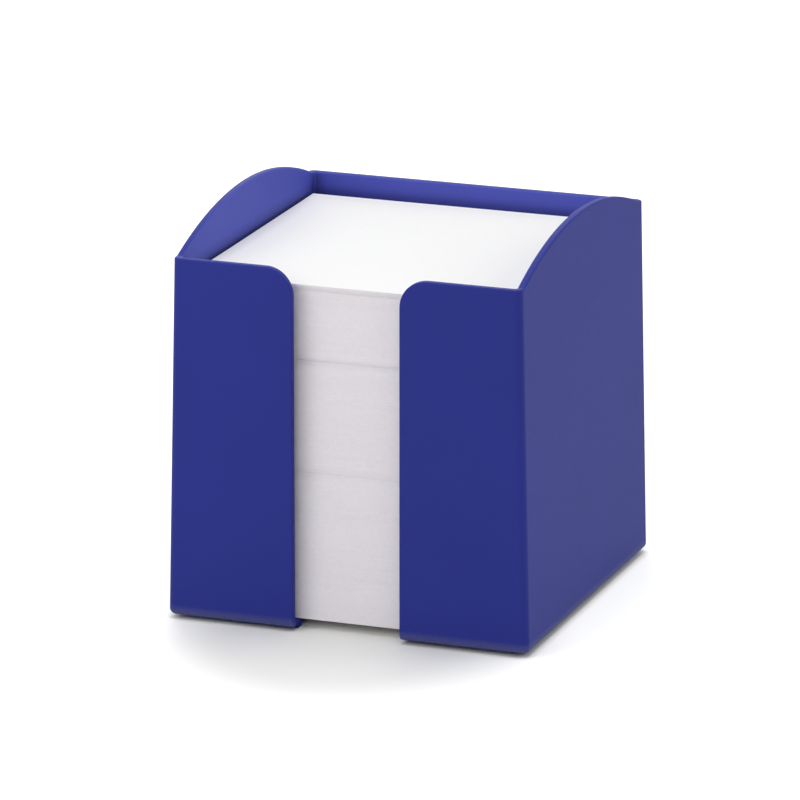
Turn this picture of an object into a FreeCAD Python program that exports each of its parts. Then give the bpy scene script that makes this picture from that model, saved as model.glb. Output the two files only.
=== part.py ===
"""Desk note box with a full stack of loose square sheets.

The box is one plastic moulding: a floor, a back wall, two side walls that lean in slightly and
have arched top edges, and two front panels with an open finger slot between them, which runs on
into the floor. The walls end just above the table in a rounded lower edge, because a foot rim, set
back under the floor, carries the box. The sheets lie loose in the box, in packs, with the topmost
sheets already parted from their pack.

Millimetres, +Z up, origin on the table under the middle of the box, front faces -Y.
"""
import FreeCAD, Part
import math
import os

# Sheets of paper
SHEET_WIDTH = 90.0       # square sheets
SHEET_THICKNESS = 0.1113  # one sheet as it lies in the stack, with the air it traps
PACK_SHEETS = 90         # sheets in one full pack
PACKS = 9
LOOSE_SHEETS = 12        # sheets parted from the uppermost pack

# Walls of the box
SHEET_ROOM = 3.0         # from the sheets to the inside of a wall, at the floor
WALL = 2.0
LEAN = 1.37              # how far each side wall leans in, in degrees
OUTER_EDGE = 2.0         # rounding of the upright corners outside
INNER_EDGE = 0.6         # rounding of the upright corners inside
FLOOR_EDGE = 0.5         # rounding between the floor and the walls inside
RIM_ABOVE_STACK = 5.4    # front and back top edges above a full stack
ARCH_RISE = 9.1          # middle of a side wall above the front and back
ARCH_MARGIN = 0.1        # level part of a side wall's top, from the inner corner
ARCH_EASE = 1.5          # radius that eases the level part into the arch
RIM_ROUND = 0.45         # rounding of the top edges and of the slot's edges

# Floor and foot
FOOT_HEIGHT = 1.0        # gap between the table and the walls
FLOOR = 1.5
LOWER_EDGE = 1.6         # rounding of the walls' lower outside edge
FOOT_MARGIN = 4.0        # from the outside of the walls to the foot rim
FOOT_RIM = 2.5           # width of the foot rim

# Finger slot in the front
SLOT_WIDTH = 29.4        # between the front panels
SLOT_CORNER = 7.5        # round corner at the top of each front panel
NOTCH_DEPTH = 20.0       # reach of the slot into the floor, from the front
NOTCH_CORNER = 6.0

# Cutting shapes and edge picking
CLEAR = 5.0              # how far cutting shapes reach past what they cut
TOUCH = 0.05             # edges this close to a level lie on it

# Sizes that follow
CAVITY_WIDTH = SHEET_WIDTH + 2 * SHEET_ROOM
OUTER_WIDTH = CAVITY_WIDTH + 2 * WALL
FLOOR_TOP = FOOT_HEIGHT + FLOOR
STACK_TOP = FLOOR_TOP + PACKS * PACK_SHEETS * SHEET_THICKNESS
RIM = STACK_TOP + RIM_ABOVE_STACK
APEX = RIM + ARCH_RISE


def inset(height):
    """How far a side wall's face has moved in at a height above the table."""
    return (height - FOOT_HEIGHT) * math.tan(math.radians(LEAN))


def leaning_block(width, low, high):
    """Block with leaning sides and upright front and back, as wide as given at the walls' foot."""
    half = width / 2
    foot = half - inset(low)
    head = half - inset(high)
    block = Part.makeWedge(-foot, low, -half, -half, -head, foot, high, half, half, head)
    block.rotate(FreeCAD.Vector(0, 0, 0), FreeCAD.Vector(1, 0, 0), 90)
    return block


def uprights(block):
    """The four edges up a block's corners."""
    return [e for e in block.Edges if e.BoundBox.ZLength > block.BoundBox.ZLength / 2]


def rounded_block(width, low, high, upright_radius, lower_radius):
    """Leaning block with round corners and a round lower edge."""
    block = leaning_block(width, low, high)
    block = block.makeFillet(upright_radius, uprights(block))
    return block.makeFillet(lower_radius, [e for e in block.Edges if e.BoundBox.ZMax < low + TOUCH])


def box_between(half_x, half_y, low, high):
    """Box centred over the origin."""
    corner = FreeCAD.Vector(-half_x, -half_y, low)
    return Part.makeBox(2 * half_x, 2 * half_y, high - low, corner)


def below_rim():
    """Everything under the top edges: level at front and back, arched along the sides.

    A small arc eases the level part into the arch. Its centre lies on a circle that shares the
    arch's centre, and big is that circle's radius.
    """
    reach = OUTER_WIDTH / 2 + CLEAR
    start = CAVITY_WIDTH / 2 - INNER_EDGE - ARCH_MARGIN
    big = (start ** 2 + ARCH_RISE ** 2) / (2 * ARCH_RISE)
    arch_radius = big - ARCH_EASE
    sine = start / big
    end_y = arch_radius * sine
    end_z = APEX - arch_radius * (1 - math.sqrt(1 - sine ** 2))
    half_angle = math.asin(sine) / 2
    mid_y = start - ARCH_EASE * math.sin(half_angle)
    mid_z = RIM + ARCH_EASE * (1 - math.cos(half_angle))

    def at(y, z):
        return FreeCAD.Vector(-reach, y, z)

    arcs = [Part.Arc(at(start, RIM), at(mid_y, mid_z), at(end_y, end_z)),
            Part.Arc(at(end_y, end_z), at(0, APEX), at(-end_y, end_z)),
            Part.Arc(at(-end_y, end_z), at(-mid_y, mid_z), at(-start, RIM))]
    outline = [at(-start, RIM), at(-reach, RIM), at(-reach, -CLEAR), at(reach, -CLEAR),
               at(reach, RIM), at(start, RIM)]
    edges = Part.makePolygon(outline).Edges + [arc.toShape() for arc in arcs]
    face = Part.Face(Part.Wire(edges))
    return face.extrude(FreeCAD.Vector(2 * reach, 0, 0))


def finger_slot():
    """Cutter for the slot between the front panels and its notch in the floor."""
    front = -OUTER_WIDTH / 2 - CLEAR
    corner = FreeCAD.Vector(-SLOT_WIDTH / 2, front, -CLEAR)
    cutter = Part.makeBox(SLOT_WIDTH, CLEAR + NOTCH_DEPTH, RIM + 2 * CLEAR, corner)
    rear = [e for e in uprights(cutter) if e.BoundBox.YMin > front + CLEAR]
    return cutter.makeFillet(NOTCH_CORNER, rear)


def foot_rim():
    """Low rim under the floor, which the box stands on."""
    half = OUTER_WIDTH / 2 - FOOT_MARGIN
    rim = box_between(half, half, 0, FOOT_HEIGHT)
    return rim.cut(box_between(half - FOOT_RIM, half - FOOT_RIM, 0, FOOT_HEIGHT))


def box_shell():
    """The moulding: walls, floor, slot and foot rim in one solid."""
    block = rounded_block(OUTER_WIDTH, FOOT_HEIGHT, APEX + CLEAR, OUTER_EDGE, LOWER_EDGE)
    room = rounded_block(CAVITY_WIDTH, FLOOR_TOP, APEX + 2 * CLEAR, INNER_EDGE, FLOOR_EDGE)
    shell = block.common(below_rim()).cut(room).fuse(foot_rim()).cut(finger_slot()).removeSplitter()

    panel_corners = [e for e in shell.Edges if is_across_rim(e) and e.BoundBox.YLength > WALL / 2]
    shell = shell.makeFillet(SLOT_CORNER, panel_corners)
    shell = shell.makeFillet(RIM_ROUND, [e for e in shell.Edges if is_along_rim(e)])
    return shell.Solids[0]


def is_across_rim(edge):
    """Whether an edge runs across a wall's thickness at the top."""
    return abs(edge.Length - WALL) < TOUCH and edge.BoundBox.ZMin > RIM - SLOT_CORNER - TOUCH


def is_along_rim(edge):
    """Whether an edge runs along a wall's top edge or up the side of the slot."""
    box = edge.BoundBox
    on_top = box.ZMin > RIM - TOUCH
    slot_side = max(abs(box.XMin), abs(box.XMax)) < SLOT_WIDTH / 2 + SLOT_CORNER + TOUCH
    up_slot = slot_side and box.YMax < WALL - OUTER_WIDTH / 2 + TOUCH and box.ZMax > RIM / 2
    return (on_top or up_slot) and not is_across_rim(edge)


def sheets(first, count):
    """Sheets number first to first + count - 1, counted from the floor of the box."""
    half = SHEET_WIDTH / 2
    stack = []
    for number in range(first, first + count):
        low = FLOOR_TOP + number * SHEET_THICKNESS
        stack.append(box_between(half, half, low, low + SHEET_THICKNESS))
    return stack


def main():
    os.makedirs("parts", exist_ok=True)
    pieces = {"box_shell": box_shell()}
    for pack in range(PACKS):
        count = PACK_SHEETS
        if pack == PACKS - 1:
            count = PACK_SHEETS - LOOSE_SHEETS
        pieces[f"note_pack_{pack + 1}"] = Part.makeCompound(sheets(pack * PACK_SHEETS, count))
    for loose in range(LOOSE_SHEETS):
        number = PACKS * PACK_SHEETS - LOOSE_SHEETS + loose
        pieces[f"loose_sheet_{loose + 1:02d}"] = sheets(number, 1)[0]
    for name, shape in pieces.items():
        shape.exportStep(f"parts/{name}.step")


main()
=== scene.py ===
import math
import random

import bpy
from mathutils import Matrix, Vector


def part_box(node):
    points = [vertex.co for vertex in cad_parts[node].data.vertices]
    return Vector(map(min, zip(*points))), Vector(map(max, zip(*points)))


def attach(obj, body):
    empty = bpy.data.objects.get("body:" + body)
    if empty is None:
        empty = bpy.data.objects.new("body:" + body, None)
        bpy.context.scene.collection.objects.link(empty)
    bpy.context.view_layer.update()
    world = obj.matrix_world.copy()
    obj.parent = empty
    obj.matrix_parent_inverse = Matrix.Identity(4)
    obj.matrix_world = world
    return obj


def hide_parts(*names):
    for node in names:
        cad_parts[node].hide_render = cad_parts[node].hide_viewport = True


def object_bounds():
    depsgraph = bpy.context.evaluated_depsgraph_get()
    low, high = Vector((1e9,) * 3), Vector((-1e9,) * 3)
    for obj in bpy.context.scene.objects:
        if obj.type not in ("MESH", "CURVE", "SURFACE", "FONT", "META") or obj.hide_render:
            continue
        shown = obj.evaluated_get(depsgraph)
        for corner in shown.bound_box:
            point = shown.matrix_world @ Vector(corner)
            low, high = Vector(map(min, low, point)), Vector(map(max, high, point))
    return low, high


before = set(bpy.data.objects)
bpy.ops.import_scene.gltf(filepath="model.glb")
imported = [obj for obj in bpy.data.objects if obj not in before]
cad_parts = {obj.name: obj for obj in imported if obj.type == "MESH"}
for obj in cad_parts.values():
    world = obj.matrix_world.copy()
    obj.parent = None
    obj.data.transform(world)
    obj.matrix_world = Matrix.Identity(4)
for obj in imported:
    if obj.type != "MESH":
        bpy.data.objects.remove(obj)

CAD_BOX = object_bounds()

# Camera, in metres and degrees; azimuth is to the right of straight ahead
CAMERA_AZIMUTH = 20.13
CAMERA_ELEVATION = 16.14
CAMERA_DISTANCE = 1.75
CAMERA_TARGET = Vector((-0.00331, 0.0, 0.05069))
FRAME_PIXELS = 800
FOCAL_PIXELS = 6605

# Walls of the box, in metres
WALL = 0.002
WALL_LEAN = math.tan(math.radians(1.37))
RIM_ROUND = 0.00045
RIM_FADE = RIM_ROUND / 4  # how far into the rim the inner faces' painted light goes before it fades out
SHEEN_LOW, SHEEN_HIGH = 0.0016, 0.0040  # heights between which the painted reflection of the floor on the walls' lower edge fades out
PAINTED_LIGHT_DEPTH = 0.008         # depth below the stack's top to which the inner faces carry painted light, a lighter blue
GAP_REACH = 0.004         # how far from the sheets and corners the inner faces carry painted shade, darker

# Materials: each colour is given as its two limits, which a noise moves it between
NOISE_LOW, NOISE_HIGH = 0.3, 0.7  # values of the noise at the two limits
WHITE = (1, 1, 1, 1)

# Plastic: a broad cloudiness and a fine grain, as noise per metre
OUTER_BLUE = (0.010, 0.018, 0.212), (0.013, 0.022, 0.240)
# Inner faces above the stack: painted light, a lighter blue than the outside
INNER_PAINTED_LIGHT_BLUE = (0.066, 0.080, 0.445), (0.077, 0.093, 0.487)
# Lower edge outside: painted reflection of the white floor, a lighter, greyer blue
PAINTED_SHEEN_BLUE = (0.050, 0.057, 0.200), (0.085, 0.092, 0.235)
CLOUD_SCALE, CLOUD_DETAIL = 38.0, 3.0
GRAIN_SCALE, GRAIN_DETAIL = 1900.0, 2.0
GRAIN_SHARE = 0.45        # share of the fine grain in the colour's unevenness
GRAIN_BUMP, GRAIN_DEPTH = 0.5, 0.00003
PLASTIC_SMOOTHEST, PLASTIC_ROUGHEST = 0.55, 0.70
PLASTIC_SPECULAR = 0.27

# Paper: white faces and faintly lilac cut edges, with fibres as noise per metre
PAPER_FACE = (0.885, 0.885, 0.88), (0.92, 0.92, 0.915)
PAPER_EDGE = (0.875, 0.835, 0.885), (0.925, 0.885, 0.935)
FIBRE_SCALE, FIBRE_DETAIL, FIBRE_ROUGHNESS = 1300.0, 6.0, 0.7
FIBRE_BUMP, FIBRE_DEPTH = 0.3, 0.00001
PAPER_ROUGHNESS = 0.85
PAPER_SPECULAR = 0.2

# Sheets of paper, in metres
SHEET_SEED = 31
AIR_SHARE = 0.12          # share of a sheet's room in the stack that is air
SHEET_SHIFT = 0.00005     # how far single sheets lie out of line
PACK_SHIFT = 0.00012      # how far whole packs lie out of line
SHEET_TURN = 0.0005       # in radians
TRIM_ERROR = 0.00002      # unevenness of the cut corners

# Partings: at the top of these packs the sheets' front edges lie back, by so many metres
PARTINGS = (("note_pack_4", 0.0004), ("note_pack_7", 0.0008))
PARTING_REACH = 0.0027    # height above and below a parting over which the sheets lie back
CLEFT_REACH = 0.00025     # height above and below it over which they lie back further
CLEFT_SHARE = 0.3         # and by which share of the parting's depth

# Curl of the loose sheets at the front edge and at the corners
CURL_HEIGHT = 0.00018     # how far the topmost sheet's free edge lifts, in metres
CURL_POWER = 3            # how steeply the front edge rises
CURL_ENDS = 0.4           # share of the front edge's lift that is left at its ends
CORNER_CURL = 0.3         # the corners' own lift, as a share of the front edge's
CORNER_POWER = 4          # how steeply the corners rise
CURL_STEPS = 24

# Faces of a flat sheet's eight corners, four below and four above, and the material of each
FACE, EDGE = 0, 1
SHEET_FACES = ((3, 2, 1, 0), (4, 5, 6, 7), (0, 1, 5, 4), (1, 2, 6, 5), (2, 3, 7, 6), (3, 0, 4, 7))
SHEET_MATERIALS = (FACE, FACE, EDGE, EDGE, EDGE, EDGE)

# Light: name, place, size in metres, and irradiance over pi at the box
SKY_STRENGTH = 0.18
LAMPS = (("top", (0.0, 0.0, 8.0), 5.6, 0.607),
         ("front", (0.1, -0.9, 0.5), 0.6, 0.18),
         ("left", (-0.18, -0.28, 0.24), 0.2, 0.214),
         ("right", (0.7, 0.1, 0.5), 0.5, 0.225),
         ("back", (-0.5, 0.8, 0.45), 0.5, 0.2))
LAMP_AIM = Vector((0.0, 0.0, 0.05))

# Floor, in metres
FLOOR_REACH = 6.0
FLOOR_COLOUR = (0.80, 0.80, 0.775), (0.82, 0.82, 0.795)
FLOOR_CLOUD_SCALE, FLOOR_CLOUD_DETAIL = 9.0, 2.0
FLOOR_ROUGHNESS = 0.6
FLOOR_SPECULAR = 0.2

# What the floor gives off to be seen as white, less so in a painted soft shadow before the box
SHADE_CENTRE = Vector((-0.001, -0.055, 0.0))
SHADE_NEAR, SHADE_FAR = 0.026, 0.066
SHADE_GLOW, FLOOR_GLOW = 0.0, 0.44
DISTANT_NEAR, DISTANT_FAR = 0.5, 4.0
DISTANT_GLOW = 0.4        # added far from the box, where the lamps reach less
CONTACT_REACH = 0.0025    # how far from the walls the glow fades, a painted shade towards the dark gap under them
CONTACT_POWER = 2.0       # how steeply it fades there

random_source = random.Random(SHEET_SEED)


def new_material(name):
    """Material with an empty node tree."""
    material = bpy.data.materials.new(name)
    material.use_nodes = True
    tree = material.node_tree
    tree.nodes.clear()
    return material, tree


def fill(tree, socket, value):
    """Links a socket to another one, or sets it to a value."""
    if isinstance(value, bpy.types.NodeSocket):
        tree.links.new(value, socket)
    else:
        socket.default_value = value


def add(tree, kind, settings=None, **inputs):
    """Adds a node, sets its properties, and sets or links its inputs by name."""
    node = tree.nodes.new(kind)
    for key, value in (settings or {}).items():
        setattr(node, key, value)
    for key, value in inputs.items():
        fill(tree, node.inputs[key.replace("_", " ")], value)
    return node


def noise(tree, place, scale, detail, **inputs):
    """Noise around one half at each place."""
    node = add(tree, "ShaderNodeTexNoise", Vector=place, Scale=scale, Detail=detail, **inputs)
    return node.outputs["Fac"]


def uneven(tree, factor, limits):
    """Colour that a noise moves between two limits."""
    node = add(tree, "ShaderNodeValToRGB", Fac=factor)
    first, last = node.color_ramp.elements
    first.position = NOISE_LOW
    last.position = NOISE_HIGH
    first.color = (*limits[0], 1)
    last.color = (*limits[1], 1)
    return node.outputs["Color"]


def span(tree, value, settings=None, **limits):
    """A value's range From_Min to From_Max carried over to the range To_Min to To_Max."""
    return add(tree, "ShaderNodeMapRange", settings, Value=value, **limits).outputs["Result"]


def combine(tree, operation, *terms):
    """What a Math node makes of sockets and numbers."""
    node = add(tree, "ShaderNodeMath", {"operation": operation})
    for socket, term in zip(node.inputs, terms):
        fill(tree, socket, term)
    return node.outputs["Value"]


def mix(tree, factor, first, second):
    """One colour where the factor is 0 and another where it is 1."""
    node = add(tree, "ShaderNodeMix", {"data_type": "RGBA"})
    sockets = [socket for socket in node.inputs if socket.enabled]
    for socket, term in zip(sockets, (factor, first, second)):
        tree.links.new(term, socket)
    return next(socket for socket in node.outputs if socket.enabled)


def relief(tree, height, strength, depth):
    """Normals of a surface with a fine relief."""
    return add(tree, "ShaderNodeBump", Height=height, Strength=strength, Distance=depth).outputs["Normal"]


def output(tree, shader):
    """Ends a material's node tree with its shader."""
    add(tree, "ShaderNodeOutputMaterial", Surface=shader)


def wall_parts(tree, place):
    """Two values from 0 to 1: inner faces above the stack, where light is painted, and the lower edge
    outside, where a reflection of the floor is painted.
    """
    high = CAD_BOX[1]
    stack_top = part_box("loose_sheet_12")[1].z
    at = add(tree, "ShaderNodeSeparateXYZ", Vector=place).outputs
    upright_x = combine(tree, "MULTIPLY_ADD", at["Z"], WALL_LEAN, combine(tree, "ABSOLUTE", at["X"]))
    across = combine(tree, "MAXIMUM", upright_x, combine(tree, "ABSOLUTE", at["Y"]))
    face = high[1] - WALL
    inside = span(tree, across, From_Min=face + RIM_FADE, From_Max=face + RIM_ROUND, To_Min=1.0, To_Max=0.0)
    # inner faces near and above the stack's top get painted light
    above = span(tree, at["Z"], From_Min=stack_top - PAINTED_LIGHT_DEPTH, From_Max=stack_top)
    # lower edge outside gets a painted reflection of the floor
    low = span(tree, at["Z"], From_Min=SHEEN_LOW, From_Max=SHEEN_HIGH, To_Min=1.0, To_Max=0.0)
    outside = combine(tree, "SUBTRACT", 1.0, inside)
    return combine(tree, "MULTIPLY", inside, above), combine(tree, "MULTIPLY", outside, low)


def box_plastic():
    """Satin blue moulded plastic: painted light makes it lighter inside above the stack, painted shade
    darkens it near the sheets and corners, and a painted reflection of the floor lightens the lower edge.
    """
    material, tree = new_material("box_plastic")
    place = add(tree, "ShaderNodeTexCoord").outputs["Object"]
    cloud = noise(tree, place, CLOUD_SCALE, CLOUD_DETAIL)
    grain = noise(tree, place, GRAIN_SCALE, GRAIN_DETAIL)
    mottle = combine(tree, "MULTIPLY_ADD", grain, GRAIN_SHARE,
                     combine(tree, "MULTIPLY", cloud, 1 - GRAIN_SHARE))
    outer = uneven(tree, mottle, OUTER_BLUE)
    # lighter blue of the inner faces: painted light
    inner = uneven(tree, mottle, INNER_PAINTED_LIGHT_BLUE)
    # painted shade: the inner faces are darker near the sheets and in corners
    painted_light_and_shade = add(tree, "ShaderNodeAmbientOcclusion", Color=inner, Distance=GAP_REACH).outputs["Color"]
    # lighter, greyer blue of the lower edge: painted reflection of the floor
    painted_sheen = uneven(tree, grain, PAINTED_SHEEN_BLUE)
    painted_light_faces, sheen_edge = wall_parts(tree, place)
    colour = mix(tree, sheen_edge, mix(tree, painted_light_faces, outer, painted_light_and_shade), painted_sheen)
    rough = span(tree, grain, To_Min=PLASTIC_SMOOTHEST, To_Max=PLASTIC_ROUGHEST)
    shader = add(tree, "ShaderNodeBsdfPrincipled", Base_Color=colour, Roughness=rough,
                 Normal=relief(tree, grain, GRAIN_BUMP, GRAIN_DEPTH), Specular_IOR_Level=PLASTIC_SPECULAR)
    output(tree, shader.outputs["BSDF"])
    return material


def paper(name, limits):
    """Uncoated white paper with faint fibres."""
    material, tree = new_material(name)
    place = add(tree, "ShaderNodeTexCoord").outputs["Object"]
    fibres = noise(tree, place, FIBRE_SCALE, FIBRE_DETAIL, Roughness=FIBRE_ROUGHNESS)
    shader = add(tree, "ShaderNodeBsdfPrincipled", Base_Color=uneven(tree, fibres, limits),
                 Normal=relief(tree, fibres, FIBRE_BUMP, FIBRE_DEPTH),
                 Roughness=PAPER_ROUGHNESS, Specular_IOR_Level=PAPER_SPECULAR)
    output(tree, shader.outputs["BSDF"])
    return material


def seen_directly(tree):
    """1 for rays from the camera and in mirrors and glass, where the backdrop is white, else 0."""
    path = add(tree, "ShaderNodeLightPath").outputs
    mirrored = combine(tree, "MAXIMUM", path["Is Glossy Ray"], path["Is Transmission Ray"])
    return combine(tree, "MAXIMUM", path["Is Camera Ray"], mirrored)


def floor_glow(tree, place):
    """Strength of the light that makes the floor look white and leaves the object's shadow, with a painted
    shadow before the box and painted shade along the walls' feet.
    """
    apart = add(tree, "ShaderNodeVectorMath", {"operation": "DISTANCE"})
    tree.links.new(place, apart.inputs[0])
    apart.inputs[1].default_value = SHADE_CENTRE
    smooth = {"interpolation_type": "SMOOTHSTEP"}
    # painted shadow: the glow is weaker before the box
    near = span(tree, apart.outputs["Value"], smooth, From_Min=SHADE_NEAR, From_Max=SHADE_FAR,
                To_Min=SHADE_GLOW, To_Max=FLOOR_GLOW)
    distant = span(tree, apart.outputs["Value"], smooth, From_Min=DISTANT_NEAR, From_Max=DISTANT_FAR,
                   To_Max=DISTANT_GLOW)
    # painted shade: the glow fades near the walls and under them
    open_air = add(tree, "ShaderNodeAmbientOcclusion", Distance=CONTACT_REACH).outputs["AO"]
    contact = combine(tree, "POWER", open_air, CONTACT_POWER)
    shown = combine(tree, "MULTIPLY", contact, seen_directly(tree))
    return combine(tree, "MULTIPLY", combine(tree, "ADD", near, distant), shown)


def floor_white():
    """Smooth white table that is seen as white and keeps the object's shadow, with a painted shadow before
    the box.
    """
    material, tree = new_material("floor_white")
    place = add(tree, "ShaderNodeTexCoord").outputs["Object"]
    cloud = noise(tree, place, FLOOR_CLOUD_SCALE, FLOOR_CLOUD_DETAIL)
    table = add(tree, "ShaderNodeBsdfPrincipled", Base_Color=uneven(tree, cloud, FLOOR_COLOUR),
                Roughness=FLOOR_ROUGHNESS, Specular_IOR_Level=FLOOR_SPECULAR)
    light = add(tree, "ShaderNodeEmission", Color=WHITE, Strength=floor_glow(tree, place))
    both = tree.nodes.new("ShaderNodeAddShader")
    tree.links.new(table.outputs["BSDF"], both.inputs[0])
    tree.links.new(light.outputs["Emission"], both.inputs[1])
    output(tree, both.outputs["Shader"])
    return material


def mesh_piece(name, vertices, faces, materials, face_materials):
    """New object of the given faces, each with one of the materials by its number."""
    mesh = bpy.data.meshes.new(name)
    mesh.from_pydata(vertices, [], faces)
    for material in materials:
        mesh.materials.append(material)
    mesh.polygons.foreach_set("material_index", face_materials)
    mesh.update()
    piece = bpy.data.objects.new(name, mesh)
    bpy.context.collection.objects.link(piece)
    return piece


def stands_for(piece, node):
    """The piece takes a CAD node's place and moves with it."""
    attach(piece, node)
    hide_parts(node)


def sheet_pitch():
    """Height that one sheet takes in the stack."""
    low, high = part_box("loose_sheet_01")
    return high.z - low.z


def jitter(reach):
    """Random distance to either side."""
    return random_source.uniform(-reach, reach)


def setback(height, partings):
    """How far a sheet's front edge lies back, near a place where the packs part."""
    total = 0.0
    for level, depth in partings:
        apart = abs(height - level)
        if apart < PARTING_REACH:
            total += depth * (1 + math.cos(math.pi * apart / PARTING_REACH)) / 2
        if apart < CLEFT_REACH:
            total += depth * CLEFT_SHARE
    return total


def pack_of_sheets(node, materials):
    """A pack whose sheets lie slightly out of line, as its CAD node's sheets do not."""
    low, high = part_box(node)
    pitch = sheet_pitch()
    partings = [(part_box(name)[1].z, depth) for name, depth in PARTINGS]
    count = round((high.z - low.z) / pitch)
    half = (high.x - low.x) / 2
    middle = (low + high) / 2
    pack_x, pack_y = jitter(PACK_SHIFT), jitter(PACK_SHIFT)
    vertices, faces, face_materials = [], [], []
    for number in range(count):
        shift_x = middle.x + pack_x + jitter(SHEET_SHIFT)
        shift_y = middle.y + pack_y + jitter(SHEET_SHIFT)
        turn = jitter(SHEET_TURN)
        bottom = low.z + number * pitch
        front = half - setback(bottom, partings)
        ring = []
        for x, y in ((-half, -front), (half, -front), (half, half), (-half, half)):
            x += jitter(TRIM_ERROR)
            y += jitter(TRIM_ERROR)
            ring.append((shift_x + x - turn * y, shift_y + y + turn * x))
        top = bottom + pitch * (1 - AIR_SHARE)
        start = len(vertices)
        vertices += [(x, y, bottom) for x, y in ring] + [(x, y, top) for x, y in ring]
        faces += [[start + corner for corner in face] for face in SHEET_FACES]
        face_materials += SHEET_MATERIALS
    piece = mesh_piece(f"{node}_sheets", vertices, faces, materials, face_materials)
    stands_for(piece, node)


def curl(x, y):
    """Lift at a place on a sheet, from -1 to 1 each way, as a share of the front edge's lift."""
    front_edge = CURL_ENDS + (1 - CURL_ENDS) * math.cos(x * math.pi / 2)
    return max(0.0, -y) ** CURL_POWER * front_edge + CORNER_CURL * (x * y) ** CORNER_POWER


def leaf_faces():
    """Faces of a curled sheet, below, above and round its edge, and the material of each."""
    side = CURL_STEPS + 1
    upper = side * side
    faces, face_materials = [], []
    for row in range(CURL_STEPS):
        for column in range(CURL_STEPS):
            corner = row * side + column
            quad = (corner, corner + 1, corner + side + 1, corner + side)
            faces.append(tuple(reversed(quad)))
            faces.append(tuple(i + upper for i in quad))
            face_materials += [FACE, FACE]
    front = list(range(side))
    right = [row * side + side - 1 for row in range(1, side)]
    back = [upper - 1 - i for i in range(1, side)]
    left = [row * side for row in range(side - 2, 0, -1)]
    rim = front + right + back + left
    for i, here in enumerate(rim):
        after = rim[(i + 1) % len(rim)]
        faces.append((here, after, after + upper, here + upper))
        face_materials.append(EDGE)
    return faces, face_materials


def loose_sheet(node, share, materials):
    """A single sheet whose front edge curls up; share is its part of the topmost sheet's curl."""
    low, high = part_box(node)
    thickness = (high.z - low.z) * (1 - AIR_SHARE)
    middle = (low + high) / 2
    half = (high.x - low.x) / 2
    shift_x, shift_y = jitter(PACK_SHIFT), jitter(PACK_SHIFT)
    turn = jitter(SHEET_TURN)
    steps = [-1 + 2 * step / CURL_STEPS for step in range(CURL_STEPS + 1)]
    vertices = []
    for layer in (0, thickness):
        for y in steps:
            for x in steps:
                place_x = middle.x + shift_x + half * (x - turn * y)
                place_y = middle.y + shift_y + half * (y + turn * x)
                vertices.append((place_x, place_y, low.z + layer + CURL_HEIGHT * share * curl(x, y)))
    faces, face_materials = leaf_faces()
    piece = mesh_piece(f"{node}_leaf", vertices, faces, materials, face_materials)
    stands_for(piece, node)


def make_camera():
    """Camera at the photograph's viewing angle."""
    azimuth = math.radians(CAMERA_AZIMUTH)
    elevation = math.radians(CAMERA_ELEVATION)
    back = Vector((math.sin(azimuth) * math.cos(elevation), -math.cos(azimuth) * math.cos(elevation),
                   math.sin(elevation)))
    data = bpy.data.cameras.new("camera")
    data.lens = data.sensor_width * FOCAL_PIXELS / FRAME_PIXELS
    camera = bpy.data.objects.new("camera", data)
    camera.location = CAMERA_TARGET + back * CAMERA_DISTANCE
    camera.rotation_mode = "QUATERNION"
    camera.rotation_quaternion = (-back).to_track_quat("-Z", "Y")
    bpy.context.collection.objects.link(camera)
    bpy.context.scene.camera = camera


def area_light(name, place, size, irradiance):
    """Square soft light that gives the irradiance over pi at its aim, straight on."""
    data = bpy.data.lights.new(name, "AREA")
    data.size = size
    toward = LAMP_AIM - place
    data.energy = irradiance * math.pi ** 2 * toward.length_squared
    light = bpy.data.objects.new(name, data)
    light.location = place
    light.rotation_mode = "QUATERNION"
    light.rotation_quaternion = toward.to_track_quat("-Z", "Y")
    bpy.context.collection.objects.link(light)


def make_world():
    """Even light from all round, which is seen as white."""
    world = bpy.data.worlds.new("studio")
    bpy.context.scene.world = world
    world.use_nodes = True
    tree = world.node_tree
    tree.nodes.clear()
    strength = span(tree, seen_directly(tree), To_Min=SKY_STRENGTH, To_Max=1.0)
    sky = add(tree, "ShaderNodeBackground", Color=WHITE, Strength=strength)
    add(tree, "ShaderNodeOutputWorld", Surface=sky.outputs["Background"])


def make_floor():
    """Square table top under the box."""
    reach = FLOOR_REACH
    corners = [(-reach, -reach, 0), (reach, -reach, 0), (reach, reach, 0), (-reach, reach, 0)]
    floor = mesh_piece("floor", corners, [(0, 1, 2, 3)], [floor_white()], [0])


make_camera()
make_world()
make_floor()
for lamp, place, size, irradiance in LAMPS:
    area_light(lamp, Vector(place), size, irradiance)

plastic = box_plastic()
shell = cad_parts["box_shell"]
for material_slot in shell.material_slots:
    material_slot.material = plastic

papers = [paper("note_paper_face", PAPER_FACE), paper("note_paper_edge", PAPER_EDGE)]
packs = sorted(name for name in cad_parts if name.startswith("note_pack"))
leaves = sorted(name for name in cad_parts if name.startswith("loose_sheet"))
for node in packs:
    pack_of_sheets(node, papers)
for number, node in enumerate(leaves):
    loose_sheet(node, (number + 1) / len(leaves), papers)

bpy.context.scene.view_settings.view_transform = "Standard"
